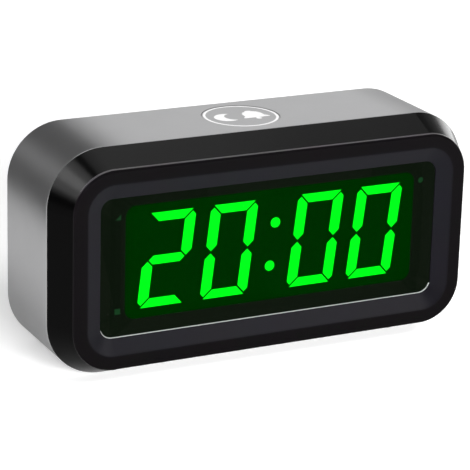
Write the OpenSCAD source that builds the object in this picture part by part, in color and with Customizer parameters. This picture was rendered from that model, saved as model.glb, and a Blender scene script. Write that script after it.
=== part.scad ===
// Free-standing digital alarm clock with a segment display behind a smoked window.
// Millimetres, +Z up, front towards -Y, origin under the middle of the feet.

/* [Case] */
// Width of the case
case_w = 148; // [134:1:166]
// Height of the case without its feet
case_h = 74.3; // [67:0.1:82]
// Depth from the front rim to the rear edge
case_d = 45.8; // [42:0.1:56]
// Corner radius of the case, seen from the front
corner_r = 18.4; // [17:0.1:20]
// Wall of the case sleeve
case_wall = 2.2; // [1.8:0.1:2.6]
// Bevel at the sleeve's front edge
sleeve_bevel = 0.4; // [0.2:0.1:0.8]
// Rounding at the sleeve's rear edge
rear_round = 1.4; // [0.6:0.1:1.7]
// Ledge inside the sleeve that the rear cover seats on
ledge_w = 1.8; // [1:0.1:2]
// Length of that ledge
ledge_l = 2; // [1.2:0.1:3]

/* [Bezel] */
// Depth of the bezel band
bezel_d = 10.9; // [10:0.1:12]
// How far the band draws in towards the front, on each side
bezel_taper = 4.45; // [3.5:0.05:5]
// Width of the flat front rim
rim_w = 4.75; // [3.5:0.05:5.5]
// Width of the sloped face inside the rim
slope_w = 5.1; // [4:0.05:6]
// Depth of the sloped face
slope_d = 2.4; // [1.2:0.1:3]
// Thickness of the lip at the slope's inner edge
lip_t = 0.4; // [0.3:0.1:0.8]
// Rounding of the rim's outer edge
rim_round = 0.8; // [0.3:0.1:1.2]
// Length of the tongue that enters the sleeve
tongue_l = 3; // [2:0.1:3.4]
// Thickness of the tongue
tongue_t = 2.4; // [2:0.1:2.6]
// Radius of the posts that take the rear screws
post_r = 2.5; // [2.2:0.1:2.8]
// Gap between a post and the tongue
post_gap = 0.3; // [0.2:0.05:0.6]

/* [Window] */
// Thickness of the window
lens_t = 1.5; // [1:0.1:2]
// How far the window reaches behind the lip
lens_lap = 1.5; // [1:0.1:1.6]
// Thickness of the border film behind the window
mask_t = 0.3; // [0.2:0.05:0.5]
// Distance of the clear field from the window's sides
field_inset_x = 8.1; // [7:0.05:9]
// Distance of the clear field from the window's top and bottom
field_inset_z = 4.2; // [3:0.05:5]
// Margin beside the digits in the clear field
field_margin_x = 4.2; // [3:0.1:5]
// Margin above and below the digits in the clear field
field_margin_z = 3.15; // [2.5:0.05:4]
// Corner radius of the clear field
field_r = 3.5; // [1:0.1:5]

/* [Digits] */
// Sideways place of the display in the window
display_x = 1.15; // [-1.5:0.05:1.5]
// Height of the display above the window's middle
display_z = 0.5; // [-0.5:0.1:0.8]
// Gap between the two digits of a pair
digit_gap = 5.2; // [3:0.1:6]
// Gap between the two pairs, where the colon stands
colon_gap = 14.4; // [11:0.1:15]
// Slant of the digits in degrees
slant = 6.5; // [0:0.5:8]
// Stroke of the level segments
level_stroke = 2.9; // [2.2:0.1:3.4]
// Stroke of the upright segments
upright_stroke = 3.6; // [2.6:0.1:4]
// Gap between neighbouring segments
segment_gap = 0.55; // [0.3:0.05:0.9]
// Cut at a digit's outer corners
segment_bevel = 1.95; // [1.2:0.05:2.4]
// Diameter of a colon dot
colon_dot = 3.4; // [2.4:0.1:4]
// Distance between the colon's dots
colon_pitch = 14.4; // [11:0.1:17]
// Depth of the digit block
block_d = 8; // [7:0.1:8.4]
// Side margin of the digit block outside the clear field
block_margin = 0.5; // [0.3:0.1:0.8]
// Depth of the clear filling in each segment
filling_d = 5; // [3:0.1:5.8]
// Size of an indicator mark beside the field
mark_size = 2; // [1.2:0.1:2.4]
// Distance of the indicator marks from the field's side
mark_gap = 2.5; // [2:0.1:2.8]

/* [Boards] */
// Thickness of the display board
display_board_t = 1.6; // [1:0.1:2]
// Side margin of the display board outside the clear field
display_board_lap = 4.5; // [4:0.1:4.8]
// Gap between the display board and the bezel's inside
display_board_gap = 1; // [0.6:0.1:1.6]
// Radius of the bosses under the display board
display_boss_r = 2.2; // [1.8:0.1:2.4]
// Sideways place of those bosses
display_boss_x = 40; // [30:1:44]
// Width of the main board
main_board_w = 100; // [98:1:104]
// Thickness of the small boards
board_t = 1.2; // [0.8:0.1:1.6]
// Space left around the main board
board_space = 1.2; // [1:0.1:1.6]
// Length of a light chip
chip_l = 1.6; // [1:0.1:2]
// Width of a light chip
chip_w = 0.8; // [0.6:0.1:1]
// Height of a light chip
chip_h = 0.7; // [0.4:0.1:0.9]
// Sideways place of the controller
controller_x = -20; // [-22:0.5:-18]
// Controller length
controller_l = 10; // [8:0.5:12]
// Controller width
controller_w = 6; // [4:0.5:8]
// Controller height
controller_h = 1.6; // [1:0.1:2.4]
// Diameter of the crystal's can
crystal_dia = 3; // [2:0.1:3.4]
// Length of the crystal's can
crystal_l = 8; // [6:0.5:10]
// Sideways place of the first capacitor
capacitor_x = 25; // [24:0.5:30]
// Diameter of a capacitor
capacitor_dia = 5; // [4:0.1:6.3]
// Height of a capacitor
capacitor_h = 8; // [5:0.5:11]
// Diameter of the buzzer
buzzer_dia = 12; // [9:0.5:13]
// Width of the ribbon cable
ribbon_w = 12; // [8:0.5:14]
// Thickness of the ribbon cable
ribbon_t = 0.9; // [0.6:0.1:1.2]
// Sag of the ribbon cable
ribbon_sag = 2; // [1:0.1:3]
// Depth of a ribbon header
header_d = 5; // [3:0.1:6]
// Height of a ribbon header
header_h = 4; // [3:0.1:5]
// Radius of an inner lead
lead_r = 0.65; // [0.5:0.05:0.8]
// Bend radius of an inner lead
lead_bend = 2; // [1.5:0.1:2.4]

/* [Buttons] */
// Radius of the snooze cap
snooze_r = 12.7; // [11:0.1:12.8]
// Sideways place of the snooze cap
snooze_x = 0.4; // [-6:0.1:6]
// How far the snooze cap lies below the top of the case
snooze_sink = 0.1; // [0.05:0.05:0.3]
// Travel of the snooze cap
snooze_travel = 0.8; // [0.5:0.1:0.9]
// Thickness of the snooze cap's top and skirt
snooze_wall = 1.8; // [1.2:0.1:2.2]
// Reach of the tabs that keep the snooze cap in
tab_reach = 2; // [1.2:0.1:2.4]
// Width of those tabs
tab_w = 6; // [4:0.5:8]
// Thickness of a tab or a button's flange
tab_t = 1.2; // [0.8:0.1:1.4]
// Radius of a set button
set_r = 3.5; // [2.8:0.1:4]
// Distance between set buttons
set_pitch = 14; // [12.5:0.1:14.5]
// Place of the first set button
set_x = -18; // [-19:0.5:-17]
// How far a set button stands out of the rear cover
set_proud = 0.8; // [0.6:0.1:0.9]
// Bevel at a set button's edge
set_edge = 0.4; // [0.2:0.1:0.5]
// Flange of a set button outside its cap
set_flange = 1; // [0.6:0.1:1.4]
// Travel of a set button
set_travel = 0.6; // [0.3:0.1:0.8]
// Side of a push switch
switch_side = 6; // [5:0.1:6.4]
// Height of a push switch without its plunger
switch_h = 3.5; // [3:0.1:4]
// Radius of a switch plunger
plunger_r = 1.7; // [1.2:0.1:2]
// Free length of a plunger above its switch
plunger_free = 1; // [1:0.1:1.4]
// Length of a plunger inside its switch
plunger_in = 1; // [0.6:0.1:1.2]
// Length of the stem between a cap and its plunger
stem_l = 0.6; // [0.4:0.1:1]
// Gap around a cap in its hole
cap_gap = 0.15; // [0.1:0.05:0.25]
// Gap between a flange and the wall that stops it
stop_gap = 0.1; // [0.05:0.05:0.2]

/* [Alarm switch] */
// Sideways place of the alarm switch
alarm_x = 38; // [37:0.5:39]
// Travel of the alarm switch knob
alarm_travel = 3; // [2:0.1:3.4]
// Side of the knob's stem
knob_stem = 2; // [1.4:0.1:2.4]
// Length of the knob's head
knob_l = 4; // [3:0.1:4.4]
// Height of the knob's head
knob_h = 4.2; // [3.4:0.1:5]
// How far the knob stands out of the rear cover
knob_proud = 0.8; // [0.4:0.1:1]
// Depth of the knob's pocket
pocket_d = 1.2; // [0.8:0.1:1.6]
// Gap around the knob
knob_gap = 0.3; // [0.2:0.05:0.4]

/* [Rear cover] */
// Thickness of the rear cover
cover_t = 2.6; // [2.5:0.1:3]
// How far the cover lies inside the sleeve's rear edge
cover_recess = 1; // [0.6:0.1:1.4]
// Gap between parts that fit into each other
fit_gap = 0.15; // [0.1:0.05:0.2]
// Radius of a sound hole
sound_r = 0.8; // [0.5:0.1:1]
// Radius of the ring of sound holes
sound_ring = 3.2; // [2.6:0.1:4]
// Number of sound holes in the ring
sound_count = 6; // [4:1:8]
// Sideways place of the buzzer and its sound holes
buzzer_x = -35; // [-36:0.5:-34]

/* [Battery bay] */
// Diameter of a cell
cell_dia = 14.5; // [13.5:0.1:14.6]
// Length of a cell with its nub
cell_l = 50.5; // [45:0.1:56.6]
// Radius of a cell's nub
nub_r = 2.7; // [2:0.1:3]
// Length of a cell's nub
nub_l = 1; // [0.8:0.1:1.5]
// Gap around the cells
cell_gap = 0.4; // [0.3:0.05:0.5]
// Wall of the bay
bay_wall = 1.5; // [1.2:0.1:1.7]
// Overlap of the door on the bay's edge
door_lap = 1; // [0.8:0.1:1.4]
// Thickness of the door
door_t = 1.6; // [1.2:0.1:1.7]
// Gap around the door
door_gap = 0.25; // [0.2:0.05:0.3]
// Radius of the door's hinge barrel
barrel_r = 1.2; // [1.1:0.05:1.25]
// Radius of the door's hinge pins
pin_r = 0.7; // [0.5:0.05:0.75]
// Length of a hinge pin
pin_l = 1.8; // [1.2:0.1:2]
// Strip of the cover below the door
door_sill = 3.2; // [3:0.1:3.8]
// Width of the door's pull tab
pull_w = 8; // [6:0.5:9]
// Height of the door's pull tab
pull_h = 2.4; // [1.5:0.1:3]
// Radius of the finger notch above the door
notch_r = 5; // [4.6:0.1:5.4]
// Thickness of a battery contact
contact_t = 0.4; // [0.3:0.05:0.5]
// Width of a battery contact
contact_w = 10; // [8:0.5:12]
// Length of a battery spring in place
spring_l = 4.6; // [4.2:0.1:5]
// Wire of a battery spring
spring_wire = 0.7; // [0.5:0.05:0.75]
// Turns of a battery spring
spring_turns = 3.5; // [3:0.5:3.5]
// Wide radius of a battery spring
spring_wide = 4.4; // [4:0.1:4.8]
// Narrow radius of a battery spring
spring_narrow = 2.4; // [2:0.1:2.8]

/* [Screws and feet] */
// Shank radius of a rear screw
rear_screw_r = 1.25; // [1:0.05:1.4]
// Length of a rear screw
rear_screw_l = 12; // [8:1:16]
// Shank radius of a board screw
board_screw_r = 0.8; // [0.6:0.05:1]
// Length of a board screw
board_screw_l = 5; // [4:0.5:5.5]
// Ratio of a screw's head to its shank
head_ratio = 2; // [1.7:0.1:2.2]
// Gap of a screw in its hole
screw_gap = 0.05; // [0.03:0.01:0.08]
// Width of a rear screw's cross slot
cross_w = 0.6; // [0.4:0.1:0.8]
// Radius of a boss on the small boards' screws
boss_r = 2.2; // [1.9:0.1:2.4]
// Radius of a rubber foot
foot_r = 4; // [3:0.1:5]
// Thickness of a rubber foot
foot_t = 1.4; // [1:0.1:1.6]
// How far a foot stands out of the case
foot_proud = 0.6; // [0.4:0.1:0.8]
// Distance of the feet from the case's side
foot_x = 23.5; // [22.5:0.5:30]
// Distance of the feet from the sleeve's front and rear edges
foot_y = 5.2; // [5.1:0.1:7]

/* [Hidden] */
$fn = 64;
// Overlap used where one solid is joined to another or cut through
over = 1;

// Main planes
y_front = -case_d / 2;
y_joint = y_front + bezel_d;
y_back = case_d / 2;
y_out = y_back - cover_recess;
y_in = y_out - cover_t;
z_mid = foot_proud + case_h / 2;
z_top = foot_proud + case_h;
z_top_in = z_top - case_wall;
z_floor_in = foot_proud + case_wall;

// Insets from the case outline
cover_inset = case_wall + fit_gap;
tongue_inset = cover_inset + tongue_t;
window_inset = bezel_taper + rim_w + slope_w;
lens_inset = window_inset - lens_lap;
pocket_inset = lens_inset - fit_gap;

// Depths of the display stack behind the front rim
lens_front = slope_d + lip_t;
lens_back = lens_front + lens_t;
mask_back = lens_back + mask_t;
block_back = mask_back + block_d;
display_board_back = block_back + display_board_t;

// Screw posts stand along the sides, level with the ends of their straight part
post_x = case_w / 2 - tongue_inset - post_gap - post_r;
post_z = case_h / 2 - corner_r;

// Clear field, and the digits that fill it
field_w = case_w - 2 * window_inset - 2 * field_inset_x;
field_h = case_h - 2 * window_inset - 2 * field_inset_z;
digit_h = field_h - 2 * field_margin_z;
slant_reach = digit_h / 2 * tan(slant);
digit_w = (field_w - 2 * field_margin_x - 2 * slant_reach - 2 * digit_gap - colon_gap) / 4;
digit_pitch = digit_w + digit_gap;
pair_x = (colon_gap + digit_w + digit_pitch) / 2;
display_board_w = field_w + 2 * display_board_lap;
display_board_h = case_h - 2 * tongue_inset - 2 * display_board_gap;
display_boss_z = (case_h / 2 - tongue_inset + case_h / 2 - pocket_inset) / 2;
mark_x = field_w / 2 + mark_gap;
mark_z = digit_h / 2;
digit_places = [for (side = [-1, 1], step = [-1, 1]) side * pair_x + step * digit_pitch / 2];
digit_lit = ["abged", "abcdef", "abcdef", "abcdef"];
segment_names = "abcdefg";

// Battery bay, measured from the door's sill upwards
door_z0 = z_floor_in + fit_gap + door_sill;
bay_z0 = door_z0 + door_lap;
bay_h = 2 * cell_dia + 3 * cell_gap;
bay_z1 = bay_z0 + bay_h;
door_z1 = bay_z1 + door_lap;
bay_w = 2 * cell_l + spring_l + 2 * contact_t + cell_gap;
door_w = bay_w + 2 * door_lap;
door_seat = door_t + stop_gap;
cell_y = y_out - door_seat - cell_gap - cell_dia / 2;
bay_y0 = cell_y - cell_dia / 2 - cell_gap;
row_z = [bay_z0 + cell_gap + cell_dia / 2, bay_z1 - cell_gap - cell_dia / 2];
hinge_y = y_out - barrel_r;
hinge_z = door_z0 + barrel_r;
pin_end = door_w / 2 + pin_l;
pull_t = door_t / 2;

// Push switch stacks: wall, gap, flange, stem, plunger, switch, board
stack = stop_gap + tab_t + stem_l + plunger_free + switch_h;
board_rear = y_in - stack;
board_front = board_rear - board_t;
snooze_board_top = z_top_in - stack;
snooze_board_low = snooze_board_top - board_t;
snooze_y = (y_joint + tongue_l + y_in) / 2;
snooze_boss_x = snooze_r + tab_reach + boss_r + board_space;
snooze_board_l = 2 * snooze_boss_x + 2 * boss_r + 2 * board_space;
snooze_board_w = 2 * boss_r + switch_side;

// Main board between the bay and the snooze board
main_z0 = bay_z1 + bay_wall + 2 * board_space;
main_z1 = snooze_board_low - board_space;
main_h = main_z1 - main_z0;
main_z = (main_z0 + main_z1) / 2;
main_boss_x = main_board_w / 2 - boss_r - fit_gap;
main_boss_z = main_h / 2 - boss_r - fit_gap;
set_places = [for (i = [0:3]) set_x + i * set_pitch];

// Contact tags lie on the bay's front wall, and battery leads rise from them to the main board
tag_w = 4 * lead_r;
tag_y1 = bay_y0 - bay_wall - stop_gap;
tag_y0 = tag_y1 - contact_t;
lead_y = tag_y0 - stop_gap - lead_r;
lead_x = 2 * boss_r - main_boss_x;
lead_places = [lead_x + 2 * tag_w, lead_x];

// Feet
foot_seat = foot_t - foot_proud + over;
foot_places_x = case_w / 2 - foot_x;
foot_places_y = [y_joint + foot_y, y_back - foot_y];

module rounded_rect(w, h, r) {
    square([w - 2 * r, h], center = true);
    square([w, h - 2 * r], center = true);
    for (sx = [-1, 1], sz = [-1, 1]) {
        translate([sx * (w / 2 - r), sz * (h / 2 - r)]) circle(r);
    }
}

// Solid between two depths whose outline lies in the front plane
module front_prism(d0, d1) {
    translate([0, y_front + d1, z_mid]) rotate([90, 0, 0]) {
        linear_extrude(height = d1 - d0) children();
    }
}

// Solid of the display, placed in the window
module display_prism(d0, d1) {
    translate([display_x, 0, display_z]) front_prism(d0, d1) children();
}

// Plate that follows the case outline at an inset, between two depths
module outline_plate(inset, d0, d1) {
    front_prism(d0, d1) rounded_rect(case_w - 2 * inset, case_h - 2 * inset, corner_r - inset);
}

// Ring of one section carried round the case outline; points are [offset from the outline, depth]
module outline_ring(points) {
    section = [for (p = points) [corner_r + p[0], -(y_front + p[1])]];
    translate([0, 0, z_mid]) rotate([90, 0, 0]) for (i = [0:3]) {
        across = i % 2 == 0 ? case_w : case_h;
        along = i % 2 == 0 ? case_h : case_w;
        rotate([0, 0, 90 * i]) translate([across / 2 - corner_r, 0, 0]) {
            rotate([90, 0, 0]) {
                linear_extrude(height = along - 2 * corner_r, center = true) polygon(section);
            }
            translate([0, along / 2 - corner_r, 0]) rotate_extrude(angle = 90) polygon(section);
        }
    }
}

module bar_y(x, z, y0, y1, r) {
    translate([x, y1, z]) rotate([90, 0, 0]) cylinder(r = r, h = y1 - y0);
}

module bar_x(x0, x1, y, z, r) {
    translate([x0, y, z]) rotate([0, 90, 0]) cylinder(r = r, h = x1 - x0);
}

module slab(low, high) {
    translate(low) cube(high - low);
}

// Points on a rounded edge, from one angle to another
function arc(cx, cy, r, a0, a1, n) = [
    for (i = [0:n]) let (a = a0 + (a1 - a0) * i / n) [cx + r * cos(a), cy + r * sin(a)]
];

module four_posts(y0, y1, r) {
    for (sx = [-1, 1], sz = [-1, 1]) bar_y(sx * post_x, z_mid + sz * post_z, y0, y1, r);
}

module display_bosses(y0, y1, r) {
    for (sx = [-1, 1], sz = [-1, 1]) {
        bar_y(sx * display_boss_x, z_mid + sz * display_boss_z, y0, y1, r);
    }
}

module main_bosses(y0, y1, r) {
    for (sx = [-1, 1], sz = [-1, 1]) bar_y(sx * main_boss_x, main_z + sz * main_boss_z, y0, y1, r);
}

module snooze_bosses(z0, z1, r) {
    for (sx = [-1, 1]) {
        translate([snooze_x + sx * snooze_boss_x, snooze_y, z0]) cylinder(r = r, h = z1 - z0);
    }
}

// Bezel: tapered band, flat rim, sloped face, lip, window pocket and tongue
module front_bezel() {
    rim_edge = arc(-bezel_taper - rim_round, rim_round, rim_round, 0, -90, 4);
    points = concat(
        [[0, bezel_d]],
        rim_edge,
        [
            [-bezel_taper - rim_w, 0],
            [-window_inset, slope_d],
            [-window_inset, lens_front],
            [-pocket_inset, lens_front],
            [-pocket_inset, lens_back],
            [-tongue_inset, lens_back],
            [-tongue_inset, bezel_d + tongue_l],
            [-cover_inset, bezel_d + tongue_l],
            [-cover_inset, bezel_d]
        ]
    );
    color("#131113") difference() {
        union() {
            outline_ring(points);
            four_posts(y_front + lens_back - over, y_in, post_r);
            display_bosses(y_front + lens_back - over, y_front + block_back, display_boss_r);
        }
        four_posts(y_in - rear_screw_l, y_in + over, rear_screw_r + screw_gap);
        display_bosses(
            y_front + block_back - board_screw_l,
            y_front + block_back + over,
            board_screw_r + screw_gap
        );
    }
}

module window_lens() {
    color("#0f2012", 0.6) outline_plate(lens_inset, lens_front, lens_back);
}

// Indicator marks: triangle, square and round dot at three corners of the field
module mark_shapes(size) {
    half = size / 2;
    translate([-mark_x, mark_z]) polygon([[-half, -half], [half, -half], [half, half]]);
    translate([-mark_x, -mark_z]) square(size, center = true);
    translate([mark_x, mark_z]) circle(half);
}

module window_mask() {
    color("#0d160e") difference() {
        outline_plate(lens_inset, lens_back, mask_back);
        display_prism(lens_back - over, mask_back + over) {
            rounded_rect(field_w, field_h, field_r);
            mark_shapes(mark_size);
        }
    }
}

// Sleeve: rounded tube with a ledge for the rear cover, snooze hole, bosses and foot seats
module case_sleeve() {
    ledge_d = y_in - y_front;
    rear_edge = arc(-rear_round, case_d - rear_round, rear_round, 0, 90, 4);
    points = concat(
        [[-sleeve_bevel, bezel_d], [0, bezel_d + sleeve_bevel]],
        rear_edge,
        [
            [-case_wall, case_d],
            [-case_wall, ledge_d],
            [-case_wall - ledge_w, ledge_d],
            [-case_wall - ledge_w, ledge_d - ledge_l],
            [-case_wall, ledge_d - ledge_l - ledge_w],
            [-case_wall, bezel_d]
        ]
    );
    color("#5a5a5c") difference() {
        union() {
            outline_ring(points);
            snooze_bosses(snooze_board_top, z_top_in + over, boss_r);
        }
        translate([snooze_x, snooze_y, z_top_in - 2 * ledge_w]) {
            cylinder(r = snooze_r + cap_gap, h = case_wall + 2 * ledge_w + over);
        }
        snooze_bosses(snooze_board_top - over, snooze_board_top + board_screw_l, board_screw_r + screw_gap);
        for (sx = [-1, 1], y = foot_places_y) {
            translate([sx * foot_places_x, y, foot_t - foot_seat]) {
                cylinder(r = foot_r + cap_gap, h = foot_seat);
            }
        }
    }
}

module sound_holes() {
    ring = [for (i = [0:sound_count - 1]) let (a = 360 * i / sound_count) sound_ring * [cos(a), sin(a)]];
    for (p = concat([[0, 0]], ring)) {
        bar_y(buzzer_x + p[0], main_z + p[1], y_in - over, y_out + over, sound_r);
    }
}

// Stretch along X that a sliding piece of the alarm switch needs
function alarm_run(size) = [
    alarm_x - size / 2 - knob_gap,
    alarm_x + size / 2 + alarm_travel + knob_gap
];

module alarm_slot(size_x, size_z, y0, y1) {
    run = alarm_run(size_x);
    half = size_z / 2 + knob_gap;
    slab([run[0], y0, main_z - half], [run[1], y1, main_z + half]);
}

// Slits that let the contact tags out of the bay
module tag_slits() {
    half = tag_w / 2 + fit_gap;
    for (z = row_z) {
        slab(
            [-bay_w / 2 - fit_gap, bay_y0 - bay_wall - over, z - half],
            [-bay_w / 2 + contact_t + fit_gap, bay_y0 + over, z + half]
        );
    }
}

module rear_cover() {
    cover_d = y_in - y_front;
    door_x = door_w / 2 + door_gap;
    color("#2a2a2c") difference() {
        union() {
            outline_plate(cover_inset, cover_d, cover_d + cover_t);
            slab(
                [-bay_w / 2 - bay_wall, bay_y0 - bay_wall, bay_z0 - bay_wall],
                [bay_w / 2 + bay_wall, y_in + over, bay_z1 + bay_wall]
            );
            main_bosses(board_rear, y_in + over, boss_r);
        }
        slab([-bay_w / 2, bay_y0, bay_z0], [bay_w / 2, y_out + over, bay_z1]);
        slab([-door_x, y_out - door_seat, door_z0 - door_gap], [door_x, y_out + over, door_z1 + door_gap]);
        slab([-door_x, y_in, door_z0 - door_gap], [door_x, y_out + over, hinge_z + barrel_r + door_gap]);
        bar_x(-pin_end - fit_gap, pin_end + fit_gap, hinge_y, hinge_z, pin_r + screw_gap);
        intersection() {
            bar_y(0, door_z1, y_out - pull_t - door_gap, y_out + over, notch_r);
            slab([-notch_r, y_in, door_z1], [notch_r, y_out + over, door_z1 + notch_r]);
        }
        four_posts(y_in - over, y_out + over, rear_screw_r + cap_gap);
        four_posts(y_out - cover_t / 2, y_out + over, rear_screw_r * head_ratio + cap_gap);
        main_bosses(board_rear - over, board_rear + board_screw_l, board_screw_r + screw_gap);
        for (x = set_places) bar_y(x, main_z, y_in - over, y_out + over, set_r + cap_gap);
        alarm_slot(knob_l, knob_h, y_out - pocket_d, y_out + over);
        alarm_slot(knob_stem, knob_stem, y_in - over, y_out + over);
        sound_holes();
        tag_slits();
    }
}

module battery_door() {
    color("#2c2c2e") {
        slab([-door_w / 2, y_out - door_t, hinge_z], [door_w / 2, y_out, door_z1]);
        bar_x(-door_w / 2, door_w / 2, hinge_y, hinge_z, barrel_r);
        bar_x(-pin_end, pin_end, hinge_y, hinge_z, pin_r);
        slab([-pull_w / 2, y_out - pull_t, door_z1 - over], [pull_w / 2, y_out, door_z1 + pull_h]);
    }
}

// Outline of one segment, slanted, about the digit's middle
function segment_points(name) =
    let (
        w = digit_w / 2,
        h = digit_h / 2,
        v = upright_stroke,
        l = level_stroke,
        e = segment_gap / sqrt(2),
        top_in = [w - v - e, h - l],
        top_out = [w - v - e + l, h],
        tip = [w - (segment_bevel + v - l - e) / 2, h + (v - l - e - segment_bevel) / 2],
        side_top = [w, tip[1] - w + tip[0]],
        middle = w - v / 2 - e,
        a = [[-top_out[0], top_out[1]], top_out, top_in, [-top_in[0], top_in[1]]],
        b = [tip, side_top, [w, e + v / 2], [w - v / 2, e], [w - v, e + v / 2], [w - v, h - l - e]],
        g = [
            [-middle, 0], [l / 2 - middle, l / 2], [middle - l / 2, l / 2],
            [middle, 0], [middle - l / 2, -l / 2], [l / 2 - middle, -l / 2]
        ],
        upright = name == "a" ? a
            : name == "b" ? b
            : name == "c" ? [for (p = b) [p[0], -p[1]]]
            : name == "d" ? [for (p = a) [p[0], -p[1]]]
            : name == "e" ? [for (p = b) [-p[0], -p[1]]]
            : name == "f" ? [for (p = b) [-p[0], p[1]]]
            : g
    )
    [for (p = upright) [p[0] + p[1] * tan(slant), p[1]]];

function is_lit(digit, name) = len(search(name, digit_lit[digit])) > 0;

// Chosen segments of one digit as prisms between two depths
module segments(digit, lit, d0, d1) {
    for (name = segment_names) {
        if (is_lit(digit, name) == lit) {
            display_prism(d0, d1) {
                translate([digit_places[digit], 0]) polygon(segment_points(name));
            }
        }
    }
}

module colon(d0, d1) {
    for (s = [-1, 1]) {
        z = s * colon_pitch / 2;
        display_prism(d0, d1) translate([z * tan(slant), z]) circle(colon_dot / 2);
    }
}

module digit_block() {
    color("#04200a") difference() {
        display_prism(mask_back, block_back) {
            square([field_w + 2 * block_margin, field_h + 2 * block_margin], center = true);
        }
        for (digit = [0:3], lit = [true, false]) {
            segments(digit, lit, mask_back - over, block_back + over);
        }
        colon(mask_back - over, block_back + over);
    }
}

module lit_digit(digit) {
    color("#12f53c") segments(digit, true, mask_back, mask_back + filling_d);
}

module unlit_segments() {
    color("#06300e") for (digit = [0:3]) segments(digit, false, mask_back, mask_back + filling_d);
}

module colon_dots() {
    color("#12f53c") colon(mask_back, mask_back + filling_d);
}

module indicator_lamps() {
    color("#2c4a33") display_prism(mask_back, block_back) mark_shapes(mark_size + 2 * fit_gap);
}

function middle_of(points) = [
    for (i = [0, 1]) let (v = [for (p = points) p[i]]) (min(v) + max(v)) / 2
];

module led_chip(place) {
    display_prism(block_back - chip_h, block_back) translate(place) square(chip_w, center = true);
    display_prism(block_back - chip_h / 2, block_back) {
        translate(place) square([chip_l, chip_w], center = true);
    }
}

module led_chips() {
    color("#e8e4c8") {
        for (digit = [0:3], name = segment_names) {
            led_chip(middle_of(segment_points(name)) + [digit_places[digit], 0]);
        }
        for (s = [-1, 1]) led_chip([s * colon_pitch / 2 * tan(slant), s * colon_pitch / 2]);
    }
}

module display_board() {
    color("#1d5a34") difference() {
        front_prism(block_back, display_board_back) {
            square([display_board_w, display_board_h], center = true);
        }
        display_bosses(
            y_front + block_back - over,
            y_front + display_board_back + over,
            board_screw_r + cap_gap
        );
    }
}

// Screw with its seat on z = 0 and its head above
module board_screw() {
    cylinder(r = board_screw_r * head_ratio, h = board_screw_r);
    translate([0, 0, -board_screw_l]) cylinder(r = board_screw_r, h = board_screw_l);
}

module display_screws() {
    color("#c8c8c8") for (sx = [-1, 1], sz = [-1, 1]) {
        translate([sx * display_boss_x, y_front + display_board_back, z_mid + sz * display_boss_z]) {
            rotate([-90, 0, 0]) board_screw();
        }
    }
}

module ribbon_headers() {
    half_w = ribbon_w / 2 + over;
    half_h = header_h / 2;
    color("#e6e2d4") for (y = [y_front + display_board_back, board_front - header_d]) {
        slab([-half_w, y, main_z - half_h], [half_w, y + header_d, main_z + half_h]);
    }
}

// Ribbon hangs in one shallow curve between its two headers
module ribbon_cable() {
    y0 = y_front + display_board_back + header_d;
    y1 = board_front - header_d;
    steps = 16;
    function sag(i) = main_z - ribbon_sag * (1 - cos(360 * i / steps)) / 2;
    upper = [for (i = [0:steps]) [y0 + (y1 - y0) * i / steps, sag(i) + ribbon_t / 2]];
    lower = [for (i = [steps:-1:0]) [y0 + (y1 - y0) * i / steps, sag(i) - ribbon_t / 2]];
    color("#9a9a9a") translate([-ribbon_w / 2, 0, 0]) rotate([90, 0, 90]) {
        linear_extrude(height = ribbon_w) polygon(concat(upper, lower));
    }
}

module main_board() {
    color("#1d5a34") difference() {
        slab([-main_board_w / 2, board_front, main_z0], [main_board_w / 2, board_rear, main_z1]);
        main_bosses(board_front - over, board_rear + over, board_screw_r + cap_gap);
    }
}

module board_screws() {
    color("#c8c8c8") for (sx = [-1, 1], sz = [-1, 1]) {
        translate([sx * main_boss_x, board_front, main_z + sz * main_boss_z]) {
            rotate([90, 0, 0]) board_screw();
        }
    }
}

module controller_chip() {
    color("#1c1c1e") slab(
        [controller_x - controller_l / 2, board_front - controller_h, main_z - controller_w / 2],
        [controller_x + controller_l / 2, board_front, main_z + controller_w / 2]
    );
}

module clock_crystal() {
    r = crystal_dia / 2;
    place = controller_x - controller_l / 2 - crystal_dia;
    color("#b8bcc0") translate([place, board_front - r, main_z - crystal_l / 2]) {
        cylinder(r = r, h = crystal_l);
    }
}

module capacitors() {
    color("#2c3a5a") for (place = [capacitor_x, capacitor_x + 2 * capacitor_dia]) {
        bar_y(place, main_z, board_front - capacitor_h, board_front, capacitor_dia / 2);
    }
}

module buzzer() {
    color("#18181a") difference() {
        bar_y(buzzer_x, main_z, board_rear, y_in - stop_gap, buzzer_dia / 2);
        bar_y(buzzer_x, main_z, y_in - tab_t, y_in + over, sound_r);
    }
}

// Push switch housing standing on z = 0 with a blind bore for its plunger
module switch_housing(travel) {
    difference() {
        translate([-switch_side / 2, -switch_side / 2, 0]) cube([switch_side, switch_side, switch_h]);
        translate([0, 0, switch_h - plunger_in - travel - stop_gap]) {
            cylinder(r = plunger_r + screw_gap, h = switch_h);
        }
    }
}

module switch_plunger() {
    translate([0, 0, switch_h - plunger_in]) cylinder(r = plunger_r, h = plunger_in + plunger_free);
}

module on_main_board(i) {
    translate([set_places[i], board_rear, main_z]) rotate([-90, 0, 0]) children();
}

module set_switches() {
    color("#202022") for (i = [0:3]) on_main_board(i) switch_housing(set_travel);
}

module set_plunger(i) {
    color("#6e6e70") on_main_board(i) switch_plunger();
}

module set_button(i) {
    flange_low = y_in - stop_gap - tab_t;
    tip = y_out + set_proud;
    color("#1a1a1c") translate([set_places[i], 0, main_z]) {
        bar_y(0, 0, flange_low, tip - set_edge, set_r);
        translate([0, tip, 0]) rotate([90, 0, 0]) cylinder(r1 = set_r - set_edge, r2 = set_r, h = set_edge);
        bar_y(0, 0, flange_low, y_in - stop_gap, set_r + set_flange);
        bar_y(0, 0, flange_low - stem_l, flange_low + tab_t / 2, plunger_r);
    }
}

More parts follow.
